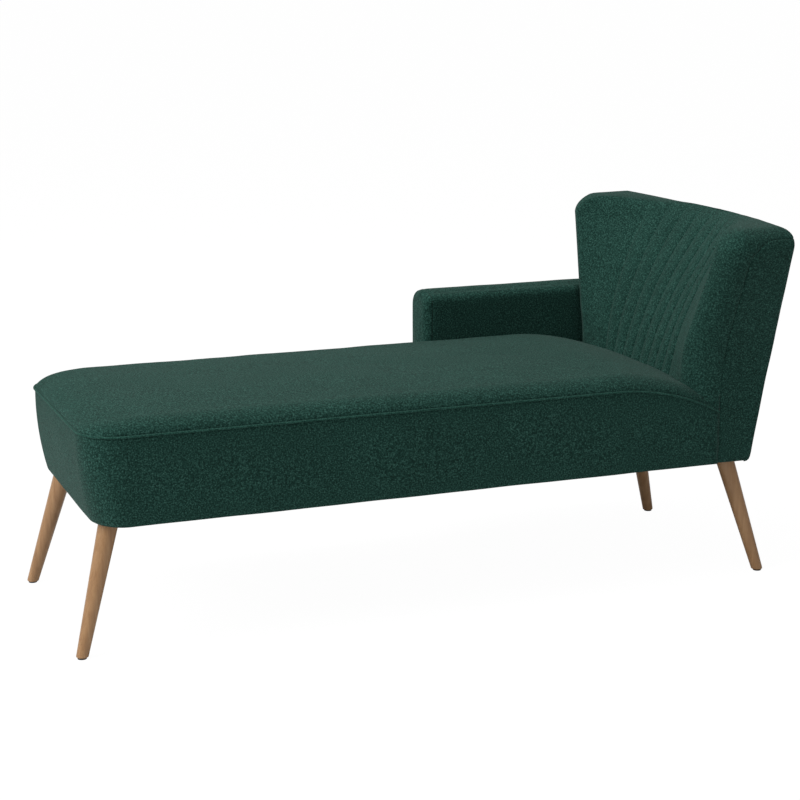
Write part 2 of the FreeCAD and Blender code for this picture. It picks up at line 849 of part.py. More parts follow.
high = Part.makeBox(
    3 * size("body_length"), 2 * size("overall_width"), size("back_height"),
    Vector(-1.5 * size("body_length"), -size("overall_width"), z_rail_top),
)
padding = seat_body(cover + soft_gap, z_rail_bottom, -soft_gap).cut(high)
padding = padding.cut(frame_prism(soft_gap, z_under, z_rail_top + cover))
padding_blank = document.addObject("Part::Feature", "side_padding_blank")
padding_blank.Shape = padding
keep(cut("padding", padding_blank, arm_bolt_holes), "side_padding")

welt_out = size("welt_radius") - size("welt_overlap")
welt_side = seat_half + welt_out
welt_bevel = (corner_radius + welt_out) * (1 - math.cos(math.pi / 4))
dip_middle = (dip_start + x_seam) / 2
x_corner = x_foot + corner_radius
y_corner = seat_half - corner_radius
x_arm_front = number(arm_front)
welt_points = {
    "end": Vector(x_seam, -welt_side, welt_height(x_seam)),
    "dip": Vector(dip_start, -welt_side, z_welt),
    "near": Vector(x_corner, -welt_side, z_welt),
    "near_foot": Vector(x_foot - welt_out, -y_corner, z_welt),
    "far_foot": Vector(x_foot - welt_out, y_corner, z_welt),
    "far": Vector(x_corner, welt_side, z_welt),
    "arm": Vector(x_arm_front - soft_gap, welt_side, z_welt),
}
x_bevel = x_foot - welt_out + welt_bevel
welt_path = Part.Wire([
    arc(
        welt_points["end"],
        Vector(dip_middle, -welt_side, welt_height(dip_middle)),
        welt_points["dip"],
    ),
    line(welt_points["dip"], welt_points["near"]),
    arc(welt_points["near"], Vector(x_bevel, welt_bevel - welt_side, z_welt), welt_points["near_foot"]),
    line(welt_points["near_foot"], welt_points["far_foot"]),
    arc(welt_points["far_foot"], Vector(x_bevel, welt_side - welt_bevel, z_welt), welt_points["far"]),
    line(welt_points["far"], welt_points["arm"]),
])
dip_slope = (x_seam - dip_start) / math.sqrt(dip_radius ** 2 - size("dip_length") ** 2)
welt_ring = Part.Circle(welt_points["end"], Vector(-1, 0, dip_slope), size("welt_radius")).toShape()
welt = welt_path.makePipeShell([Part.Wire([welt_ring])], True, False)
feature("seat_welt", welt)

seat_shell = outer_seat.cut(seat_body(cover, z_under - cover, cover)).cut(welt)
steps = 24
seam_points = [Vector(x_foot - corner_radius, 0, z_welt)]
for step in range(steps + 1):
    x = dip_start + size("dip_length") * step / steps
    seam_points.append(Vector(x, 0, welt_height(x)))
seam_points.append(Vector(x_seam + cover, 0, welt_height(x_seam)))
seam_points.append(Vector(x_seam + cover, 0, z_back_top))
seam_points.append(Vector(x_foot - corner_radius, 0, z_back_top))
above_welt = prism_between(seam_points, -size("overall_width"), size("overall_width"))
feature("seat_top_cover", seat_shell.common(above_welt))
border_blank = document.addObject("Part::Feature", "border_blank")
border_blank.Shape = seat_shell.cut(above_welt)
keep(cut("border", border_blank, arm_bolt_holes), "seat_border_cover")

dust_blank = document.addObject("Part::Feature", "dust_blank")
dust_blank.Shape = frame_prism(
    -size("dust_cover_margin"), z_rail_bottom - size("dust_cover_thickness"), z_rail_bottom,
)
dust_holes = []
for corner in corners:
    x, y, z = on_leg_axis(corner, "0")
    dust_holes.append(tube(
        "dust_hole_" + corner,
        "sizes.leg_plate_radius + sizes.plate_hole_margin",
        "2 * sizes.leg_plate_thickness",
        x, y, z,
    ))
keep(cut("dust", dust_blank, dust_holes), "dust_cover")


# Back frame: shaped posts, three curved rails, webbing in front and a thin board behind.

z_post_top = z_under + size("post_top_height")
y_rail_inner = number(rail_inner)
behind_posts = cover + size("back_board_thickness") + size("board_gap")


def post_outer(z):
    """The posts stand upright inside the side rails and spread above them."""
    share = max(z - z_rail_top, 0) / (z_post_top - z_rail_top)
    spread = back_half(z_post_top) - size("post_top_spread") - y_rail_inner
    return y_rail_inner + spread * share


def post_inner_at(z):
    return post_outer(z) - size("post_thickness")


frame_steps = 10
rise = (z_post_top - z_rail_top) / frame_steps
frame_levels = [z_rail_bottom, z_rail_top]
frame_levels += [z_rail_top + rise * step for step in range(1, frame_steps + 1)]


def post(side, grow):
    outlines = []
    for z in frame_levels:
        inner = post_inner_at(z) - grow
        outer = post_outer(z) + grow
        front = x_seam + size("post_front_gap") - grow
        rear_inner = rear_at(inner, z) - behind_posts + grow
        rear_outer = rear_at(outer, z) - behind_posts + grow
        outlines.append([
            Vector(front, side * inner, z),
            Vector(front, side * outer, z),
            Vector(rear_outer, side * outer, z),
            Vector(rear_inner, side * inner, z),
        ])
    return stacked(outlines)


for side, side_name in ((-1, "open"), (1, "arm")):
    blank = document.addObject("Part::Feature", "post_blank_" + side_name)
    blank.Shape = post(side, 0)
    tools = back_bolt_holes[side] + screw_holes["head_" + side_name]
    keep(cut("post_" + side_name, blank, tools), "back_post_" + side_name)

rail_front = behind_posts + size("back_rail_thickness")
rail_bases = {
    "back_lower_rail": z_under + size("lower_rail_height"),
    "back_middle_rail": z_under + size("middle_rail_height"),
    "back_top_rail": z_post_top - size("back_rail_height"),
}
for name, base in rail_bases.items():
    levels = [base + size("back_rail_height") * share for share in (0, 0.5, 1)]
    feature(name, rear_band(levels, post_inner_at, behind_posts, rail_front))

strap_back = rail_front + size("webbing_gap")
strap_front = strap_back + size("webbing_thickness")
strap_low = rail_bases["back_lower_rail"]
strap_rise = (z_post_top - strap_low) / frame_steps
straps = []
for number_of_strap in range(int(size("webbing_count"))):
    middle = size("webbing_pitch") * (number_of_strap - (size("webbing_count") - 1) / 2)
    sides = (middle - size("webbing_width") / 2, middle + size("webbing_width") / 2)
    outlines = []
    for step in range(frame_steps + 1):
        z = strap_low + strap_rise * step
        back_edge = [Vector(rear_at(y, z) - strap_back, y, z) for y in sides]
        front_edge = [Vector(rear_at(y, z) - strap_front, y, z) for y in reversed(sides)]
        outlines.append(back_edge + front_edge)
    straps.append(stacked(outlines))
feature("back_webbing", Part.makeCompound(straps))

board_face = cover + size("board_gap")
feature("back_board", rear_band(frame_levels, post_outer, board_face, behind_posts - size("board_gap")))


# Soft layers of the back: foam round the frame, and the cover in four sewn pieces.

hollow_levels = [z_under - cover, z_rail_top] + frame_levels[2:-1] + [z_post_top + soft_gap]
hollow = rear_band(
    hollow_levels, lambda z: post_outer(z) + soft_gap,
    -size("back_overhang"), strap_front + soft_gap,
)
low = Part.makeBox(
    3 * size("body_length"), 2 * size("overall_width"), 2 * size("leg_plate_thickness"),
    Vector(-1.5 * size("body_length"), -size("overall_width"), z_rail_bottom - 2 * size("leg_plate_thickness")),
)
back_foam = back_body(cover + soft_gap)
for tool in (
    grown_seat,
    low,
    frame_prism(soft_gap, z_under - cover, z_rail_top + soft_gap),
    hollow,
    post(-1, soft_gap),
    post(1, soft_gap),
):
    back_foam = back_foam.cut(tool)
feature("back_foam", back_foam)

back_shell = back_body(0).cut(back_body(cover))
cover_steps = 12
cover_rise = (z_corner - z_under) / cover_steps
cover_levels = [z_under - cover] + [z_under + cover_rise * step for step in range(1, cover_steps + 1)]
cap_rise = z_cap_seam - z_corner
cover_levels += [z_corner + cap_rise * share for share in (0.25, 0.5, 0.75, 1)]
rear_zone = rear_band(
    cover_levels, lambda z: back_half(z) + 3 * cover, -size("back_overhang"), 2.5 * cover,
)


def side_seam(z):
    """The seam at the front of the side panel turns to the rear below the top."""
    radius = size("seam_turn_radius")
    up = min(max(z - (z_cap_seam - radius), 0), radius)
    return x_seam + radius - math.sqrt(radius ** 2 - up ** 2)


turn_levels = [z_cap_seam - size("seam_turn_radius") * (1 - share) for share in (0, 0.2, 0.4)]
side_levels = [z for z in cover_levels if z < turn_levels[0] - 2 * cover] + turn_levels
turn_shares = (0.55, 0.7, 0.8, 0.88, 0.94, 0.98, 1)
side_levels += [z_cap_seam - size("seam_turn_radius") * (1 - share) for share in turn_shares]


def side_zone(side):
    """Room round the side wall of the back behind its seam."""
    outlines = []
    for z in side_levels:
        inner = side * (back_half(z) - 3 * cover)
        outer = side * (back_half(z) + 3 * cover)
        rear = rear_at(back_half(z), z) + cover
        outlines.append([
            Vector(side_seam(z), inner, z),
            Vector(side_seam(z), outer, z),
            Vector(rear, outer, z),
            Vector(rear, inner, z),
        ])
    return stacked(outlines)


feature("outer_back_panel", back_shell.common(rear_zone))
front_shell = back_shell.cut(rear_zone)
for side, side_name in ((-1, "open"), (1, "arm")):
    zone = side_zone(side)
    feature("gusset_" + side_name, front_shell.common(zone))
    front_shell = front_shell.cut(zone)
feature("back_inner_cover", front_shell.cut(seat_body(0, z_under - cover)))


# Arm: a box frame with a board outside, foam round it, and a cover with a separate front.

z_arm_top = number(arm_top)
x_arm_rear = number(arm_rear)


def arm_section(x, inset, bottom):
    edge = size("arm_edge_radius")
    drawn = edge * (1 - quarter((x - x_arm_front - inset) / edge))
    low = number(arm_inner) + inset + drawn
    high = number(arm_outer) - inset - drawn
    radius = edge - inset
    bevel = radius * (1 - math.cos(math.pi / 4))
    top = z_arm_top - inset - drawn
    brow = top - size("arm_crown")

    def point(y, z):
        return Vector(x, y, z)

    return Part.Wire([
        line(point(low, bottom), point(low, brow - radius)),
        arc(point(low, brow - radius), point(low + bevel, brow - bevel), point(low + radius, brow)),
        arc(point(low + radius, brow), point((low + high) / 2, top), point(high - radius, brow)),
        arc(point(high - radius, brow), point(high - bevel, brow - bevel), point(high, brow - radius)),
        line(point(high, brow - radius), point(high, bottom)),
        line(point(high, bottom), point(low, bottom)),
    ])


def arm_form(inset, bottom):
    """The arm less the room of the back, which flares out over its rear end."""
    first = x_arm_front + inset
    edge = size("arm_edge_radius")
    lowest = z_under - 3 * cover
    places = [first + edge * share for share in (0, 0.06, 0.25, 0.6, 1)]
    front = Part.makeLoft([arm_section(x, inset, lowest) for x in places], True, False)
    last = Part.Face(arm_section(places[-1], inset, lowest))
    straight = last.extrude(Vector(x_arm_rear - inset - places[-1], 0, 0))
    body = joined([front, straight]).cut(back_body(-size("arm_back_gap") - inset))
    return body.cut(Part.makeBox(
        2 * size("arm_length"), size("overall_width"), bottom - lowest + cover,
        Vector(x_arm_front - size("arm_length") / 2, 0, lowest - cover),
    ))


arm_low = (arm_frame_inner, arm_frame_outer + " - sizes.arm_board_thickness")
post_z = (rail_bottom, arm_frame_top + " - sizes.arm_rail_thickness")
keep(
    box("arm_post_front", (arm_frame_front, arm_frame_front + " + sizes.arm_post_depth"), arm_low, post_z),
    "arm_front_post",
)
keep(
    box("arm_post_rear", (arm_frame_rear + " - sizes.arm_post_depth", arm_frame_rear), arm_low, post_z),
    "arm_rear_post",
)
keep(
    box("arm_rail_top", (arm_frame_front, arm_frame_rear), arm_low,
        (arm_frame_top + " - sizes.arm_rail_thickness", arm_frame_top)),
    "arm_top_rail",
)
bottom_rail = box(
    "arm_rail_bottom",
    (arm_frame_front + " + sizes.arm_post_depth", arm_frame_rear + " - sizes.arm_post_depth"),
    (arm_frame_inner, arm_rail_outer),
    rail_z,
)
keep(cut("arm_rail_low", bottom_rail, arm_bolt_holes + arm_nut_holes), "arm_bottom_rail")
keep(
    box("arm_board", (arm_frame_front, arm_frame_rear),
        (arm_frame_outer + " - sizes.arm_board_thickness", arm_frame_outer),
        (rail_bottom, arm_frame_top)),
    "arm_outer_board",
)
document.recompute()

x_frame_front = number(arm_frame_front) - soft_gap
y_frame_inner = number(arm_frame_inner) - soft_gap
arm_room = Part.makeBox(
    number(arm_frame_rear) + soft_gap - x_frame_front,
    number(arm_frame_outer) + soft_gap - y_frame_inner,
    number(arm_frame_top) + soft_gap - z_under,
    Vector(x_frame_front, y_frame_inner, z_under),
)
foam_blank = document.addObject("Part::Feature", "arm_foam_blank")
foam_blank.Shape = arm_form(cover + soft_gap, z_rail_bottom).cut(arm_room)
keep(cut("arm_padding", foam_blank, arm_bolt_holes), "arm_foam")

arm_shell = arm_form(0, z_under).cut(arm_form(cover, z_under - cover))
front_box = Part.makeBox(
    2 * size("arm_front_seam"), 2 * size("overall_width"), size("back_height"),
    Vector(x_arm_front - size("arm_front_seam"), 0, z_under - cover),
)
feature("arm_front_cover", arm_shell.common(front_box))
wrap_blank = document.addObject("Part::Feature", "arm_wrap_blank")
wrap_blank.Shape = arm_shell.cut(front_box)
keep(cut("arm_wrap", wrap_blank, arm_bolt_holes), "arm_wrap_cover")
keep(
    box("arm_dust", (arm_frame_front, arm_rear + " - sizes.cover_thickness - sizes.arm_side_padding"),
        (arm_frame_inner, arm_frame_outer),
        (rail_bottom + " - sizes.dust_cover_thickness", rail_bottom)),
    "arm_dust_cover",
)

document.recompute()
for thing in sub_parts:
    if "Invalid" in thing.State or "Error" in thing.State:
        raise RuntimeError(thing.Label + " could not be worked out")
    if thing.Shape.isNull() or not thing.Shape.isValid():
        raise RuntimeError(thing.Label + " has no valid shape")

os.makedirs("parts", exist_ok=True)
for thing in sub_parts:
    thing.Shape.exportStep("parts/" + thing.Label + ".step")
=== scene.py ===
import json
import math

import bpy
import numpy as np
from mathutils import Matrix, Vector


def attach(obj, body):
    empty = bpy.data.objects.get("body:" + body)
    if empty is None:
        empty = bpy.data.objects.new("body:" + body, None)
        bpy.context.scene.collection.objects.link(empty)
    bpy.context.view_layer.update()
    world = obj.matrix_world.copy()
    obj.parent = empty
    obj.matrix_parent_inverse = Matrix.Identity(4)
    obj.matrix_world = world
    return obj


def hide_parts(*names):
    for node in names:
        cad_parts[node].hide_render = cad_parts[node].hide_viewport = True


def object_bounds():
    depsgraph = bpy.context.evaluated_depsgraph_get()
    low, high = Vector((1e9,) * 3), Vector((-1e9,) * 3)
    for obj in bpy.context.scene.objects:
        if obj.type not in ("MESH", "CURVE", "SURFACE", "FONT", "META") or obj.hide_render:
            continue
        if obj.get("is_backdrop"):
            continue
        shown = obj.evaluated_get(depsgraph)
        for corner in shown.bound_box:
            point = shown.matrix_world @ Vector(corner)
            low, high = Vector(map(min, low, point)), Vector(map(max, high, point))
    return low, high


# Chaise longue: the upholstery is built over the forms of its frame, in millimetres, and every
# cover is a closed skin of its own that ends at the sewn seams.

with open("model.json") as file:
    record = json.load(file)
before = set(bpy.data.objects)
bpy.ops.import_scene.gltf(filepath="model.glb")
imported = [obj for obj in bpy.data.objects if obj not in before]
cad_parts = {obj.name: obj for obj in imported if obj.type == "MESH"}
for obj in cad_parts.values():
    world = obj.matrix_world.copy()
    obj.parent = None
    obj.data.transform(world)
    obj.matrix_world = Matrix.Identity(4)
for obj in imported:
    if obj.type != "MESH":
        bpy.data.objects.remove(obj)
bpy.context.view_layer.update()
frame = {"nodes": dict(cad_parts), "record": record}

MM = 0.001
SKIN = 2.0

# The seat.
X_FOOT = -761.5
X_REAR = 701.5
SEAM_SETBACK = 85
X_SEAM = X_REAR - SEAM_SETBACK
Z_UNDER = 262
SEAT_HALF = 278
OVERALL_HALF = 372
CORNER_RADIUS = 80
BORDER_HEIGHT = 180
Z_WELT = Z_UNDER + BORDER_HEIGHT
WELT_TUCK = 0.4
DIP_LENGTH = 250
DIP_DEPTH = 64
DIP_START = X_SEAM - DIP_LENGTH
DIP_RADIUS = (DIP_LENGTH ** 2 + DIP_DEPTH ** 2) / (2 * DIP_DEPTH)
SHOULDER_RISE = 30
SHOULDER_RUN = 50
CROWN_RISE = 38
END_RUN = 130
END_EDGE_SHARE = 0.03
FOOT_LEAN = 20
FOOT_LEAN_RUN = 1.5 * CORNER_RADIUS
BORDER_ROWS = 34
BORDER_LIFT = 3
BORDER_FULL = 1.2
BORDER_END_FULL = 5.5

# The turn under a lower edge, ring by ring: how far in, and how far above the underside.
BORDER_TURN = ((1.0, 1.2), (3.0, 0.2), (9.0, 0.0))
BACK_TURN = ((10, 0), (5, 1.5), (2, 4.5), (0.5, 9))

# The back.
Z_BACK_TOP = Z_UNDER + 523
ROLL = 45
ROLL_STEPS = (5, 10, 14, 17, 19.5, 21, 22.5, 25, 28, 31, 34, 37, 39.5, 41.5, 43, 44.2, 45)
Z_CORNER = Z_BACK_TOP - ROLL
Z_CAP_SEAM = Z_BACK_TOP - 24
Z_FLARE = Z_UNDER + 165
Z_CREASE = Z_UNDER + 168
FLARE_SOFT = 0.4
REAR_OVERHANG = 87
REAR_ROLL = 32
REAR_BOW = 4
REAR_HOLLOW = 59
FRONT_SETBACK = 140
FRONT_LEAN = 0.236
FRONT_CURVE = 0.00082
FRONT_ROLL = 14
WING_SETBACK = 156
WING_LEAN = 0.1
WING_LEAN_START = 268
WING_ROLL = 60
WING_ROUND = 50
TIP_ROUND = 14
SEAM_TURN = 60
SEAM_LEAN = 9
SEAM_LEAN_RUN = 300
CHANNELS = 8
CHANNEL_PITCH = 36.75
CHANNEL_FAN = 0.3
CHANNEL_DEPTH = 7.5
CHANNEL_FADE = 60
CHANNEL_PAST_TOP = 8
CHANNEL_SHARES = (0, 0.05, 0.12, 0.22, 0.35, 0.5, 0.65, 0.78, 0.88, 0.95)
OUTER_SEAM_RUN = 9
SADDLE = 11
Z_SADDLE = 600
TOP_PUFF = 2.5
SEAT_TUCK = 6
SIDE_LEAST = 6
SEAM_SINK = 1.8
SEAM_BESIDE = 0.5
TOP_SEAM_BESIDE = 0.6

# The arm.
ARM_X = (158.5, 695.5)
ARM_Y = (278.5, 372.0)
ARM_TOP = Z_UNDER + 315
ARM_EDGE = 20
ARM_CROWN = 6
ARM_BACK_GAP = 1.0
ARM_FRONT_PUFF = 3.0
ARM_SINK = 1.5
ARM_BESIDE = 0.4
ARM_EDGE_ROWS = 12
ARM_CAP_SHARES = (0.8, 0.55, 0.25, 0.0)

# The camera's heading and its tilt below the level, in radians.
CAMERA_YAW = 0.373563
CAMERA_TILT = 0.228251


# Materials.

WHITE = (1, 1, 1, 1)


def linear(code):
    """A colour written as sRGB hex, in linear light."""
    values = [int(code[i:i + 2], 16) / 255 for i in (1, 3, 5)]
    light = [v / 12.92 if v <= 0.04045 else ((v + 0.055) / 1.055) ** 2.4 for v in values]
    return tuple(light) + (1.0,)


def material(name):
    made = bpy.data.materials.new(name)
    made.use_nodes = True
    made.node_tree.nodes.clear()
    return made


def add(tree, kind, stops=(), **inputs):
    """A node with its settings and inputs. A pair (node, output) is a link, and stops fill a ramp."""
    node = tree.nodes.new(kind)
    for name, value in inputs.items():
        if hasattr(node, name) and not isinstance(value, tuple):
            setattr(node, name, value)
            continue
        socket = node.inputs[name.replace("_", " ")]
        if isinstance(value, tuple) and isinstance(value[0], bpy.types.Node):
            tree.links.new(value[0].outputs[value[1]], socket)
        else:
            socket.default_value = value
    if stops:
        elements = node.color_ramp.elements
        while len(elements) < len(stops):
            elements.new(0.5)
        for element, (place, colour) in zip(elements, stops):
            element.position = place
            element.color = colour
    return node


def cloth(name, dark, mid, light, curl=0.0024, depth=0.0009):
    """Looped wool-like cloth: small curls that catch the light over a darker ground. The size
    and the height of a curl are in metres."""
    made = material(name)
    tree = made.node_tree
    place = add(tree, "ShaderNodeTexCoord")
    curls = add(tree, "ShaderNodeTexVoronoi", Vector=(place, "Object"), Scale=1 / curl)
    fuzz = add(tree, "ShaderNodeTexNoise", Vector=(place, "Object"), Scale=0.75 / curl,
               Detail=4.0, Roughness=0.7)
    wide = add(tree, "ShaderNodeTexNoise", Vector=(place, "Object"), Scale=7.0, Detail=2.0)
    tone = add(tree, "ShaderNodeValToRGB", Fac=(fuzz, "Fac"),
               stops=[(0.35, linear(dark)), (0.5, linear(mid)), (0.66, linear(light))])
    shade = add(tree, "ShaderNodeValToRGB", Fac=(wide, "Fac"),
                stops=[(0.3, (0.9, 0.9, 0.9, 1)), (0.7, WHITE)])
    both = add(tree, "ShaderNodeMix", data_type="RGBA", blend_type="MULTIPLY", Factor=1.0,
               A=(tone, "Color"), B=(shade, "Color"))
    low = add(tree, "ShaderNodeBump", Height=(curls, "Distance"), Strength=0.7, Distance=depth)
    rough = add(tree, "ShaderNodeBump", Height=(fuzz, "Fac"), Normal=(low, "Normal"),
                Strength=0.8, Distance=depth)
    shader = add(tree, "ShaderNodeBsdfPrincipled", Base_Color=(both, "Result"),
                 Normal=(rough, "Normal"), Roughness=0.95, Specular_IOR_Level=0.15,
                 Sheen_Weight=0.1, Sheen_Roughness=0.45, Sheen_Tint=linear("#C9E2DA"))
    add(tree, "ShaderNodeOutputMaterial", Surface=(shader, "BSDF"))
    return made


def beech():
    """Pale turned beech: long grain with short dark flecks, under a satin lacquer."""
    made = material("beech_look")
    tree = made.node_tree
    place = add(tree, "ShaderNodeTexCoord")
    stretched = add(tree, "ShaderNodeMapping", Vector=(place, "Object"), Scale=(90, 90, 5))
    grain = add(tree, "ShaderNodeTexNoise", Vector=(stretched, "Vector"), Scale=1.0, Detail=6.0,
                Roughness=0.65, Distortion=0.4)
    flecks = add(tree, "ShaderNodeMapping", Vector=(place, "Object"), Scale=(900, 900, 110))
    fleck = add(tree, "ShaderNodeTexNoise", Vector=(flecks, "Vector"), Scale=1.0, Detail=1.0)
    base = add(tree, "ShaderNodeValToRGB", Fac=(grain, "Fac"),
               stops=[(0.3, linear("#966E46")), (0.5, linear("#A87F56")), (0.7, linear("#B58D63"))])
    marks = add(tree, "ShaderNodeValToRGB", Fac=(fleck, "Fac"),
                stops=[(0.62, WHITE), (0.72, (0.86, 0.8, 0.74, 1))])
    both = add(tree, "ShaderNodeMix", data_type="RGBA", blend_type="MULTIPLY", Factor=0.8,
               A=(base, "Color"), B=(marks, "Color"))
    bump = add(tree, "ShaderNodeBump", Height=(grain, "Fac"), Strength=0.12, Distance=0.0004)
    shader = add(tree, "ShaderNodeBsdfPrincipled", Base_Color=(both, "Result"),
                 Normal=(bump, "Normal"), Roughness=0.42, Coat_Weight=0.25, Coat_Roughness=0.3)
    add(tree, "ShaderNodeOutputMaterial", Surface=(shader, "BSDF"))
    return made


def plain(name, colour, roughness=0.6, metallic=0.0):
    """One even colour."""
    made = material(name)
    shader = add(made.node_tree, "ShaderNodeBsdfPrincipled", Base_Color=linear(colour),
                 Roughness=roughness, Metallic=metallic)
    add(made.node_tree, "ShaderNodeOutputMaterial", Surface=(shader, "BSDF"))
    return made


green = cloth("green_cloth", "#0A251F", "#193D35", "#3C655B")
welt_green = cloth("welt_cloth", "#122F29", "#1D463C", "#3F695F", curl=0.0018, depth=0.0005)
wood = beech()
looks = {
    "welt": welt_green,
    "beech": wood,
    "frame_wood": plain("sawn_wood", "#C2A27C", 0.75),
    "board": plain("pressed_board", "#8A6A4C", 0.8),
    "felt": plain("grey_felt", "#6E6E6A", 0.95),
    "webbing": plain("dark_webbing", "#46413C", 0.9),
    "dust_cloth": plain("black_cloth", "#1B1B1C", 0.95),
    "steel": plain("zinc_steel", "#B4B4B2", 0.35, 1.0),
    "spring_steel": plain("drawn_wire", "#3A3A3C", 0.4, 0.8),
    "glide_plastic": plain("dark_plastic", "#221E1B", 0.6),
}
slots = {row["node"]: row["material_slot"] for row in frame["record"]["subparts"]}
for node, thing in frame["nodes"].items():
    look = looks.get(slots.get(node))
    if look:
        thing.data.materials.clear()
        thing.data.materials.append(look)


# Meshes.

def grid_faces(rows, columns, closed=False):
    """Four-sided faces over points that are numbered row by row."""
    faces = []
    for r in range(rows - 1):
        low = r * columns
        high = low + columns
        for c in range(columns if closed else columns - 1):
            d = (c + 1) % columns
            faces.append((low + c, low + d, high + d, high + c))
    return faces


def normals_of(points, faces):
    """Vertex normals of a face list, as unit vectors."""
    total = np.zeros_like(points)
    corners = np.array(faces)
    across = points[corners[:, 2]] - points[corners[:, 0]]
    along = points[corners[:, 3]] - points[corners[:, 1]]
    turned = np.cross(across, along)
    for k in range(4):
        np.add.at(total, corners[:, k], turned)
    return total / np.maximum(np.linalg.norm(total, axis=1), 1e-9)[:, None]


def ripple(points, size, depth):
    """Smooth uneven swelling of a soft surface, from crossed waves."""
    p = points / size
    wave = np.sin(p[:, 0] * 1.3 + 2.1 * np.sin(p[:, 1] * 0.7) + 0.8 * p[:, 2])
    wave += np.sin(p[:, 1] * 1.7 + 1.3 * np.sin(p[:, 0] * 0.5 + 1.0) - 1.1 * p[:, 2] + 0.6)
    wave += 0.6 * np.sin(p[:, 0] * 2.9 - p[:, 1] * 2.3 + 1.9 * p[:, 2] + 2.0)
    return depth * wave / 2.6


def skin(name, points, faces, normals, look, nodes):
    """A closed skin over some of a body's faces: outside, inside and the cut edges."""
    used = sorted({v for face in faces for v in face})
    place = {v: i for i, v in enumerate(used)}
    outer = points[used]
    inner = outer - normals[used] * SKIN
    count = len(used)
    outside = [[place[v] for v in face] for face in faces]
    inside = [[v + count for v in reversed(face)] for face in outside]
    edges = {}
    for face in outside:
        for a, b in zip(face, face[1:] + face[:1]):
            if a != b:
                edges[(a, b)] = True
    rim = [[b, a, a + count, b + count] for a, b in edges if (b, a) not in edges]
    whole = []
    for face in outside + inside + rim:
        kept = [v for i, v in enumerate(face) if v != face[i - 1]]
        if len(kept) > 2:
            whole.append(kept)
    mesh = bpy.data.meshes.new(name)
    mesh.from_pydata((np.vstack([outer, inner]) * MM).tolist(), [], whole)
    mesh.validate()
    mesh.update()
    mesh.polygons.foreach_set("use_smooth", [True] * len(mesh.polygons))
    mesh.materials.append(look)
    thing = bpy.data.objects.new(name, mesh)
    bpy.context.scene.collection.objects.link(thing)
    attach(thing, "root")
    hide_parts(*nodes)


def quarter(share):
    """The height of a quarter circle at a share of its run."""
    return np.sqrt(np.clip(1 - (1 - np.minimum(share, 1)) ** 2, 0, 1))


def welt_height(x):
    """The height of the corded seam, which dips towards the back."""
    run = np.maximum(x - DIP_START, 0)
    return Z_WELT - DIP_RADIUS + np.sqrt(DIP_RADIUS ** 2 - run ** 2)


# Seat top: a crowned form whose edges round down to the welt.

reach = np.concatenate([
    END_RUN * (1 - np.cos(np.linspace(0, math.pi / 2, 30))),
    np.linspace(END_RUN, DIP_START - X_FOOT, 62)[1:],
    np.linspace(DIP_START - X_FOOT, X_SEAM - X_FOOT, 36)[1:],
])
across = np.sin(np.linspace(-1, 1, 131) * math.pi / 2)
half = SEAT_HALF - CORNER_RADIUS * (1 - quarter(reach / CORNER_RADIUS))
seat_x = np.repeat((X_FOOT + reach)[:, None], len(across), 1)
seat_y = half[:, None] * across[None, :]
edge = half[:, None] - np.abs(seat_y)
rise = np.maximum(quarter(reach / END_RUN), END_EDGE_SHARE)[:, None]
inner_half = np.maximum(half[:, None] - SHOULDER_RUN, 1)
crown = (CROWN_RISE - SHOULDER_RISE) * (1 - np.clip(np.abs(seat_y) / inner_half, 0, 1) ** 2)
seat_z = welt_height(seat_x) + rise * (SHOULDER_RISE * quarter(edge / SHOULDER_RUN) + crown)
top = np.stack([seat_x, seat_y, seat_z], -1).reshape(-1, 3)
top_faces = grid_faces(len(reach), len(across))
top_normals = normals_of(top, top_faces)
if top_normals[len(top) // 2, 2] < 0:
    top_faces = [tuple(reversed(face)) for face in top_faces]
    top_normals = -top_normals
top = top + top_normals * (ripple(top, 60, 0.9) + ripple(top, 19, 0.25))[:, None]
skin("seat_top", top, top_faces, top_normals, green,
     ["seat_top_cover", "seat_wadding", "seat_foam"])


# Seat border: the upright band round three sides, a little full, turned under at its lower edge.

def outline_path():
    """Places round the seat in plan, with outward directions."""
    places = []
    for x in np.linspace(X_SEAM, DIP_START, 24):
        places.append((x, -SEAT_HALF, 0, -1))
    for x in np.linspace(DIP_START, X_FOOT + CORNER_RADIUS, 56)[1:]:
        places.append((x, -SEAT_HALF, 0, -1))
    centre_x = X_FOOT + CORNER_RADIUS
    centre_y = SEAT_HALF - CORNER_RADIUS
    for turn in np.linspace(0, math.pi / 2, 20)[1:]:
        across, along = math.cos(turn), math.sin(turn)
        places.append((centre_x - CORNER_RADIUS * along, -centre_y - CORNER_RADIUS * across,
                       -along, -across))
    side_count = len(places)
    for y in np.linspace(-centre_y, centre_y, 30)[1:]:
        places.append((X_FOOT, y, -1, 0))
    mirrored = [(x, -y, nx, -ny) for x, y, nx, ny in reversed(places[:side_count])]
    return np.array(places + mirrored[1:])


path = outline_path()
band = []
for share in np.linspace(0, 1, BORDER_ROWS):
    high = welt_height(path[:, 0]) - WELT_TUCK
    z = high + (Z_UNDER + BORDER_LIFT - high) * share
    from_foot = path[:, 0] - X_FOOT
    lean = FOOT_LEAN * np.clip(1 - from_foot / FOOT_LEAN_RUN, 0, 1) * (high - z) / BORDER_HEIGHT
    end = np.clip(-path[:, 2], 0, 1)
    full = (BORDER_FULL + BORDER_END_FULL * end) * math.sin(math.pi * share) ** 0.8
    band.append(np.stack([path[:, 0] + lean + path[:, 2] * full,
                          path[:, 1] + path[:, 3] * full, z], -1))
lowest = band[-1]
for inward, up in BORDER_TURN:
    last = lowest.copy()
    last[:, 0] -= path[:, 2] * inward
    last[:, 1] -= path[:, 3] * inward
    last[:, 2] = Z_UNDER + up
    band.append(last)
band = np.array(band)
band_points = band.reshape(-1, 3)
band_faces = grid_faces(len(band), len(path))
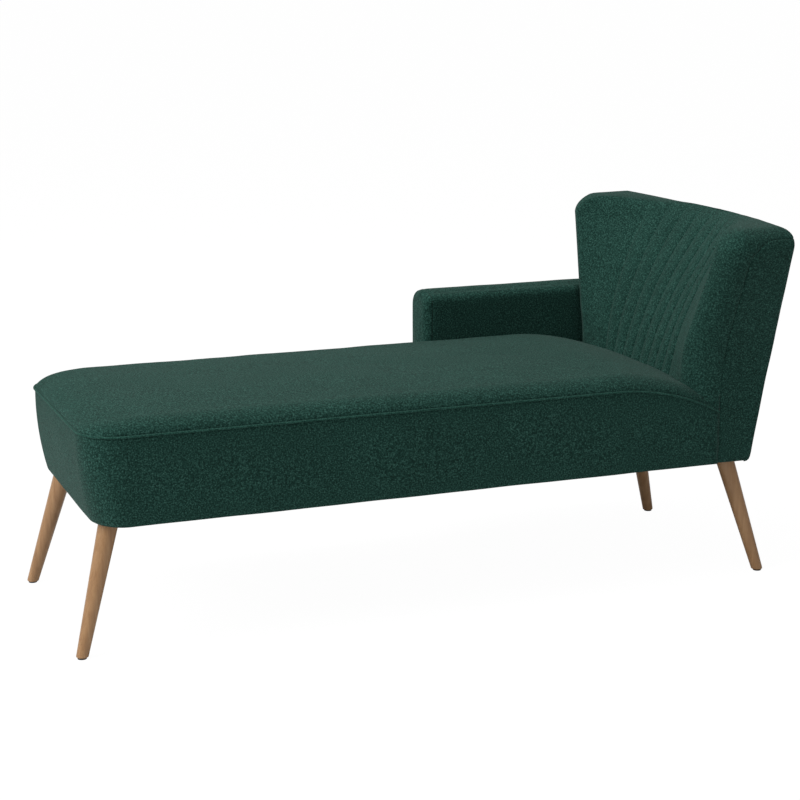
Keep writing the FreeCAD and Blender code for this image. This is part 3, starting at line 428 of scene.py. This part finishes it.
band_normals = normals_of(band_points, band_faces)
if band_normals[len(path) * 10 + 40, 1] > 0:
    band_faces = [tuple(reversed(face)) for face in band_faces]
    band_normals = -band_normals
band_points = band_points + band_normals * (ripple(band_points, 70, 0.7))[:, None]
skin("seat_border", band_points, band_faces, band_normals, green,
     ["seat_border_cover", "side_padding"])


# Back: level outlines from the underside to the top, with the seams on grid lines.

def roll_share(z):
    """How far the top edge has rolled in at a level."""
    share = np.clip((z - Z_CORNER) / ROLL, 0, 1)
    return 1 - math.sqrt(1 - share ** 2)


def flare_share(z):
    """How far the sides have flared at a level: a soft start, then straight."""
    share = min(max((z - Z_FLARE) / (Z_CORNER - Z_FLARE), 0), 1)
    straight = 1 - FLARE_SOFT / 2
    if share < FLARE_SOFT:
        return share ** 2 / (2 * FLARE_SOFT) / straight
    return (share - FLARE_SOFT / 2) / straight


def back_half(z):
    return SEAT_HALF + (OVERALL_HALF - SEAT_HALF) * flare_share(z) - ROLL * roll_share(z)


def rear_centre(z):
    slope = REAR_OVERHANG / (Z_CORNER - Z_UNDER)
    return X_REAR + slope * (z - Z_UNDER) - REAR_ROLL * roll_share(z)


def rear_at(y, z):
    return rear_centre(z) - (REAR_BOW + REAR_HOLLOW * flare_share(z)) * (y / back_half(z)) ** 2


def front_centre(z):
    up = z - Z_CREASE
    forward = X_REAR - FRONT_SETBACK
    return forward + FRONT_LEAN * up + FRONT_CURVE * up ** 2 + FRONT_ROLL * roll_share(z)


def wing_front(z):
    up = max(z - Z_UNDER - WING_LEAN_START, 0)
    return X_REAR - WING_SETBACK + WING_LEAN * up + WING_ROLL * roll_share(z)


def side_seam(z):
    lean = SEAM_LEAN * np.clip((z - Z_CREASE) / SEAM_LEAN_RUN, 0, 1)
    up = min(max(z - (Z_CAP_SEAM - SEAM_TURN), 0), SEAM_TURN)
    return X_SEAM + lean + SEAM_TURN - math.sqrt(SEAM_TURN ** 2 - up ** 2)


def channel_seams(z):
    """The places across the back of the sewn seams, which spread towards the top."""
    spread = 1 + CHANNEL_FAN * max(z - Z_CREASE, 0) / (Z_BACK_TOP - Z_CREASE)
    return [CHANNEL_PITCH * spread * (i - CHANNELS / 2) for i in range(CHANNELS + 1)]


def near_ends(count, close):
    """Shares from 0 to 1 with extra places close to both ends."""
    return np.concatenate([[0, close, 3 * close], np.linspace(6 * close, 1 - 6 * close, count),
                           [1 - 3 * close, 1 - close, 1]])


side_shares = near_ends(10, 0.03)
rear_shares = near_ends(40, 0.004)
wall_shares = np.array([0, 0.12, 0.35, 0.7])
turn_shares = np.linspace(0, 1, 18)


def outline(z):
    """One level outline: front from the open side to the arm side, side, rear, side."""
    half = back_half(z)
    wing_y = half - WING_ROUND
    tip = wing_front(z)
    middle = front_centre(z)
    corner = rear_at(half, z)
    fixed = min(max(X_SEAM, tip + TIP_ROUND), (tip + corner) / 2)
    seam = min(max(side_seam(z), fixed), corner - SIDE_LEAST)
    sunk = CHANNEL_DEPTH * min(max((Z_BACK_TOP + CHANNEL_PAST_TOP - z) / CHANNEL_FADE, 0), 1)

    def front_x(y):
        return middle + (tip - middle) * (y / wing_y) ** 2

    wall = [(seam + (fixed - seam) * share, -half) for share in wall_shares]
    nose = []
    for share in turn_shares:
        turn = share * math.pi / 2
        out = wing_y + (half - wing_y) * math.cos(turn)
        nose.append((fixed - (fixed - tip) * math.sin(turn), -out))
    seams = channel_seams(z)
    flat = []
    for share in np.linspace(0, 1, 22)[1:-1]:
        y = -wing_y + (seams[0] + wing_y) * share
        flat.append((front_x(y) + sunk * np.exp(-(seams[0] - y) / OUTER_SEAM_RUN), y))
    ribs = []
    for low, high in zip(seams[:-1], seams[1:]):
        for share in CHANNEL_SHARES:
            y = low + (high - low) * share
            ribs.append((front_x(y) + sunk * (1 - math.sin(math.pi * share) ** 0.5), y))
    ribs.append((front_x(seams[-1]) + sunk, seams[-1]))
    left = wall + nose + flat
    right = [(x, -y) for x, y in reversed(left)]
    front = left + ribs + right
    side = [(seam + (corner - seam) * share, half) for share in side_shares[1:]]
    rear = []
    for share in rear_shares[1:]:
        y = half - 2 * half * share
        rear.append((rear_at(y, z), y))
    other = [(corner + (seam - corner) * share, -half) for share in side_shares[1:-1]]
    return front + side + rear + other, len(front)


# The levels: the turn under, the part inside the seat, the open face and the rolled top.
levels = np.concatenate([
    [Z_UNDER + up for _, up in BACK_TURN],
    np.linspace(Z_UNDER + 18, Z_CREASE - 30, 7),
    np.linspace(Z_CREASE - 26, Z_CORNER, 66),
    Z_CORNER + np.array(ROLL_STEPS),
])
cap_level = int(np.argmin(np.abs(levels - Z_CAP_SEAM)))
rings = []
for z in levels:
    ring, front_count = outline(z)
    rings.append([(x, y, z) for x, y in ring])
rings = np.array(rings, float)
ring_size = rings.shape[1]
side_first = front_count - 1
rear_first = side_first + len(side_shares) - 1
other_first = rear_first + len(rear_shares) - 1
for row, (inward, _) in enumerate(BACK_TURN):
    rings[row, :, 1] *= 1 - inward / SEAT_HALF
    rings[row, rear_first:other_first + 1, 0] -= inward
    rings[row, rear_first, 0] = rings[row, rear_first + 1, 0]
    rings[row, other_first, 0] = rings[row, other_first - 1, 0]

# The cap joins the front edge of the last ring to its rear edge. Its rows start and end on the
# ring's own places along the two sides.
last_ring = rings[-1]
ring_start = (len(levels) - 1) * ring_size
walls = len(wall_shares)
open_line = list(range(walls, -1, -1)) + list(range(ring_size - 1, other_first - 1, -1))
arm_line = list(range(front_count - 1 - walls, rear_first + 1))
front_edge = last_ring[walls:front_count - walls]
rear_columns = list(range(other_first, rear_first - 1, -1))
rear_edge = last_ring[rear_columns]
rear_match = front_edge.copy()
rear_match[:, 0] = np.interp(front_edge[:, 1], rear_edge[:, 1], rear_edge[:, 0])
line_x = last_ring[open_line, 0]
line_shares = (line_x - line_x[0]) / (line_x[-1] - line_x[0])
puff = TOP_PUFF * (1 - (front_edge[:, 1] / abs(front_edge[0, 1])) ** 8)
cap = []
for share in line_shares[1:-1]:
    row = front_edge * (1 - share) + rear_match * share
    row[:, 2] += puff * math.sin(math.pi * share)
    cap.append(row[1:-1])
cap_columns = len(front_edge)
base_count = rings.shape[0] * ring_size
back_points = np.vstack([rings.reshape(-1, 3), np.array(cap).reshape(-1, 3)])

wall_faces = []
for r in range(len(levels) - 1):
    for c in range(ring_size):
        d = (c + 1) % ring_size
        wall_faces.append((r, c, (r * ring_size + c, r * ring_size + d,
                                  (r + 1) * ring_size + d, (r + 1) * ring_size + c)))


def cap_index(row, column):
    if row == 0:
        return ring_start + walls + column
    if column == 0:
        return ring_start + open_line[row]
    if column == cap_columns - 1:
        return ring_start + arm_line[row]
    return base_count + (row - 1) * (cap_columns - 2) + column - 1


cap_faces = []
cap_rows = len(open_line) - 1
for r in range(cap_rows - 1):
    for c in range(cap_columns - 1):
        cap_faces.append((cap_index(r, c), cap_index(r, c + 1),
                          cap_index(r + 1, c + 1), cap_index(r + 1, c)))
# The last cap row meets the rear edge, whose places differ from it, with a fan of small faces.
last_row = [cap_index(cap_rows - 1, c) for c in range(cap_columns)]
rear_ring = [ring_start + c for c in rear_columns]
i = j = 0
while i < len(last_row) - 1 or j < len(rear_ring) - 1:
    step_i = front_edge[i + 1, 1] if i < len(last_row) - 1 else 1e9
    step_j = rear_edge[j + 1, 1] if j < len(rear_ring) - 1 else 1e9
    if step_i <= step_j:
        cap_faces.append((last_row[i], last_row[i + 1], rear_ring[j], rear_ring[j]))
        i += 1
    else:
        cap_faces.append((last_row[i], rear_ring[j + 1], rear_ring[j], rear_ring[j]))
        j += 1

# The middle of the top is a little lower than the wings.
share = np.clip((back_points[:, 2] - Z_SADDLE) / (Z_BACK_TOP - Z_SADDLE), 0, 1)
hollow = np.clip(1 - (back_points[:, 1] / OVERALL_HALF) ** 2, 0, 1)
back_points[:, 2] -= SADDLE * hollow * share ** 2

all_faces = [face for _, _, face in wall_faces] + cap_faces
back_normals = normals_of(back_points, all_faces)
probe = 20 * ring_size + front_count // 2
if back_normals[probe, 0] > 0:
    wall_faces = [(r, c, tuple(reversed(face))) for r, c, face in wall_faces]
    cap_faces = [tuple(reversed(face)) for face in cap_faces]
    back_normals = -back_normals

# Sewn seams sink: at the side seams, the rear corners and along the top of the sides and rear.
sink = np.zeros(len(back_points))
level_of = np.repeat(np.arange(len(levels)), ring_size)
column_of = np.tile(np.arange(ring_size), len(levels))
for line_column in (0, side_first, rear_first, other_first):
    away = np.abs(column_of - line_column)
    away = np.minimum(away, ring_size - away)
    below = level_of <= cap_level
    sink[:base_count][(away == 0) & below] = SEAM_SINK
    beside = (away == 1) & below
    sink[:base_count][beside] = np.maximum(sink[:base_count][beside], SEAM_BESIDE)
behind = column_of >= side_first
sink[:base_count][(level_of == cap_level) & behind] = SEAM_SINK
sink[:base_count][(np.abs(level_of - cap_level) == 1) & behind] = TOP_SEAM_BESIDE
soft = ripple(back_points, 55, 0.8) + ripple(back_points, 21, 0.2)
back_points = back_points + back_normals * (soft - sink)[:, None]

groups = {"inner": [], "open": [], "arm": [], "rear": []}
for r, c, face in wall_faces:
    if r >= cap_level or c < side_first:
        # The cloth ends a little below the seat.
        seat_line = welt_height(min(back_points[face[0], 0], X_SEAM)) if c < side_first else 0
        if levels[r + 1] < seat_line - SEAT_TUCK:
            continue
        groups["inner"].append(face)
    elif c < rear_first:
        groups["arm"].append(face)
    elif c < other_first:
        groups["rear"].append(face)
    else:
        groups["open"].append(face)
groups["inner"] += cap_faces
skin("back_front_and_top", back_points, groups["inner"], back_normals, green,
     ["back_inner_cover", "back_foam"])
skin("back_side_open", back_points, groups["open"], back_normals, green, ["gusset_open"])
skin("back_side_arm", back_points, groups["arm"], back_normals, green, ["gusset_arm"])
skin("back_rear", back_points, groups["rear"], back_normals, green, ["outer_back_panel"])


# Arm: a soft-edged box with a slightly crowned top, notched round the flared side of the back.

def arm_ring(x):
    """The outline across the arm at a place along it."""
    drawn = ARM_EDGE * (1 - float(quarter((x - ARM_X[0]) / ARM_EDGE)))
    low = ARM_Y[0] + drawn
    high = ARM_Y[1] - drawn
    top = ARM_TOP - drawn
    brow = top - ARM_CROWN
    bend = brow - ARM_EDGE
    flat_low = low + ARM_EDGE
    flat_high = high - ARM_EDGE
    ring = [(low, z) for z in np.linspace(Z_UNDER, bend, 24)]
    for turn in np.linspace(0, math.pi / 2, 9)[1:]:
        ring.append((low + ARM_EDGE * (1 - math.cos(turn)), bend + ARM_EDGE * math.sin(turn)))
    for share in np.linspace(0, 1, 12)[1:-1]:
        ring.append((flat_low + (flat_high - flat_low) * share,
                     brow + ARM_CROWN * (1 - (2 * share - 1) ** 2)))
    for turn in np.linspace(math.pi / 2, 0, 9)[:-1]:
        ring.append((high - ARM_EDGE * (1 - math.cos(turn)), bend + ARM_EDGE * math.sin(turn)))
    ring += [(high, z) for z in np.linspace(bend, Z_UNDER, 24)]
    ring += [(high + (low - high) * share, Z_UNDER) for share in np.linspace(0, 1, 8)[1:-1]]
    return [(x, y, z) for y, z in ring]


arm_x = np.concatenate([
    ARM_X[0] + ARM_EDGE * (1 - np.cos(np.linspace(0, math.pi / 2, ARM_EDGE_ROWS))),
    [ARM_X[0] + ARM_EDGE + 2.5, ARM_X[0] + ARM_EDGE + 7],
    np.linspace(ARM_X[0] + ARM_EDGE + 14, ARM_X[1], 50),
])
arm = np.array([arm_ring(x) for x in arm_x], float)
arm_size = arm.shape[1]
caps = []
for ring, bulge in ((arm[0], -ARM_FRONT_PUFF), (arm[-1], 0.0)):
    middle = ring.mean(0)
    for share in ARM_CAP_SHARES:
        inner = middle + (ring - middle) * share
        inner[:, 0] += bulge * (1 - share ** 2)
        caps.append(inner)
cap_count = len(ARM_CAP_SHARES)
arm = np.concatenate([np.array(caps[cap_count - 1::-1]), arm, np.array(caps[cap_count:])])

# The rear of the arm keeps clear of the flared side of the back.
for row in arm:
    for point in row:
        x, y, z = point
        if x < wing_front(z):
            continue
        half = back_half(z)
        tip = wing_front(z)
        fixed = min(X_SEAM, (tip + rear_at(half, z)) / 2)
        limit = half
        if x < fixed:
            squared = max(1 - ((fixed - x) / (fixed - tip)) ** 2, 0)
            limit = (half - WING_ROUND) + WING_ROUND * math.sqrt(squared)
        point[1] = max(y, limit + ARM_BACK_GAP)
arm_points = arm.reshape(-1, 3)
arm_faces = grid_faces(len(arm), arm_size, closed=True)
arm_normals = normals_of(arm_points, arm_faces)
probe = 30 * arm_size + 36
if arm_normals[probe, 2] < 0:
    arm_faces = [tuple(reversed(face)) for face in arm_faces]
    arm_normals = -arm_normals
seam_row = ARM_EDGE_ROWS - 1 + cap_count
arm_sink = np.zeros((len(arm), arm_size))
arm_sink[seam_row] = ARM_SINK
arm_sink[seam_row + 1] = ARM_BESIDE
arm_soft = ripple(arm_points, 50, 0.6)
arm_points = arm_points + arm_normals * (arm_soft - arm_sink.reshape(-1))[:, None]
cut_at = seam_row * arm_size
skin("arm_front", arm_points, arm_faces[:cut_at], arm_normals, green, ["arm_front_cover"])
skin("arm_wrap", arm_points, arm_faces[cut_at:], arm_normals, green,
     ["arm_wrap_cover", "arm_foam"])


# Floor, light and camera.

bpy.ops.mesh.primitive_plane_add(size=400)
floor = bpy.context.object
floor.name = "floor"
floor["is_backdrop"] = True
# The floor looks white to the camera and still takes soft shadows.
pale = material("pale_floor")
tree = pale.node_tree
diffuse = add(tree, "ShaderNodeBsdfDiffuse", Color=(0.75, 0.75, 0.75, 1))
glow = add(tree, "ShaderNodeEmission", Color=WHITE, Strength=1.06)
rays = add(tree, "ShaderNodeLightPath")
part = add(tree, "ShaderNodeMath", operation="MULTIPLY")
tree.links.new(rays.outputs["Is Camera Ray"], part.inputs[0])
part.inputs[1].default_value = 0.92
mix = add(tree, "ShaderNodeMixShader")
tree.links.new(part.outputs[0], mix.inputs[0])
tree.links.new(diffuse.outputs[0], mix.inputs[1])
tree.links.new(glow.outputs[0], mix.inputs[2])
add(tree, "ShaderNodeOutputMaterial", Surface=(mix, "Shader"))
floor.data.materials.append(pale)

world = bpy.data.worlds.new("studio")
bpy.context.scene.world = world
world.use_nodes = True
tree = world.node_tree
tree.nodes.clear()
rays = add(tree, "ShaderNodeLightPath")
dim = add(tree, "ShaderNodeBackground", Color=WHITE, Strength=0.3)
white = add(tree, "ShaderNodeBackground", Color=WHITE, Strength=1.0)
mix = add(tree, "ShaderNodeMixShader")
tree.links.new(rays.outputs["Is Camera Ray"], mix.inputs[0])
tree.links.new(dim.outputs[0], mix.inputs[1])
tree.links.new(white.outputs[0], mix.inputs[2])
add(tree, "ShaderNodeOutputWorld", Surface=(mix, "Shader"))


def lamp(name, place, aim, size, power):
    """A square soft light that faces a place."""
    light = bpy.data.lights.new(name, "AREA")
    light.shape = "SQUARE"
    light.size = size
    light.energy = power
    thing = bpy.data.objects.new(name, light)
    bpy.context.scene.collection.objects.link(thing)
    thing.location = place
    way = np.array(aim) - np.array(place)
    flat = math.hypot(way[0], way[1])
    thing.rotation_euler = (math.atan2(flat, -way[2]), 0, math.atan2(way[1], way[0]) - math.pi / 2)


lamp("key", (-4.2, -0.6, 3.6), (0, 0, 0.4), 3.0, 180)
lamp("overhead", (-0.6, 0.6, 4.6), (0, 0, 0.4), 3.0, 70)
lamp("front", (0.4, -4.6, 3.4), (0, 0, 0.6), 2.5, 16)

# The camera was fitted to the object's outline in the photo.
camera_data = bpy.data.cameras.new("camera")
camera_data.lens = 86.02
camera_data.sensor_width = 36
camera = bpy.data.objects.new("camera", camera_data)
bpy.context.scene.collection.objects.link(camera)
camera.location = (-1.48247, -3.74976, 1.3335)
camera.rotation_euler = (math.pi / 2 - CAMERA_TILT, 0, -CAMERA_YAW)
bpy.context.scene.camera = camera
bpy.context.scene.view_settings.view_transform = "Standard"

low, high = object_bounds()
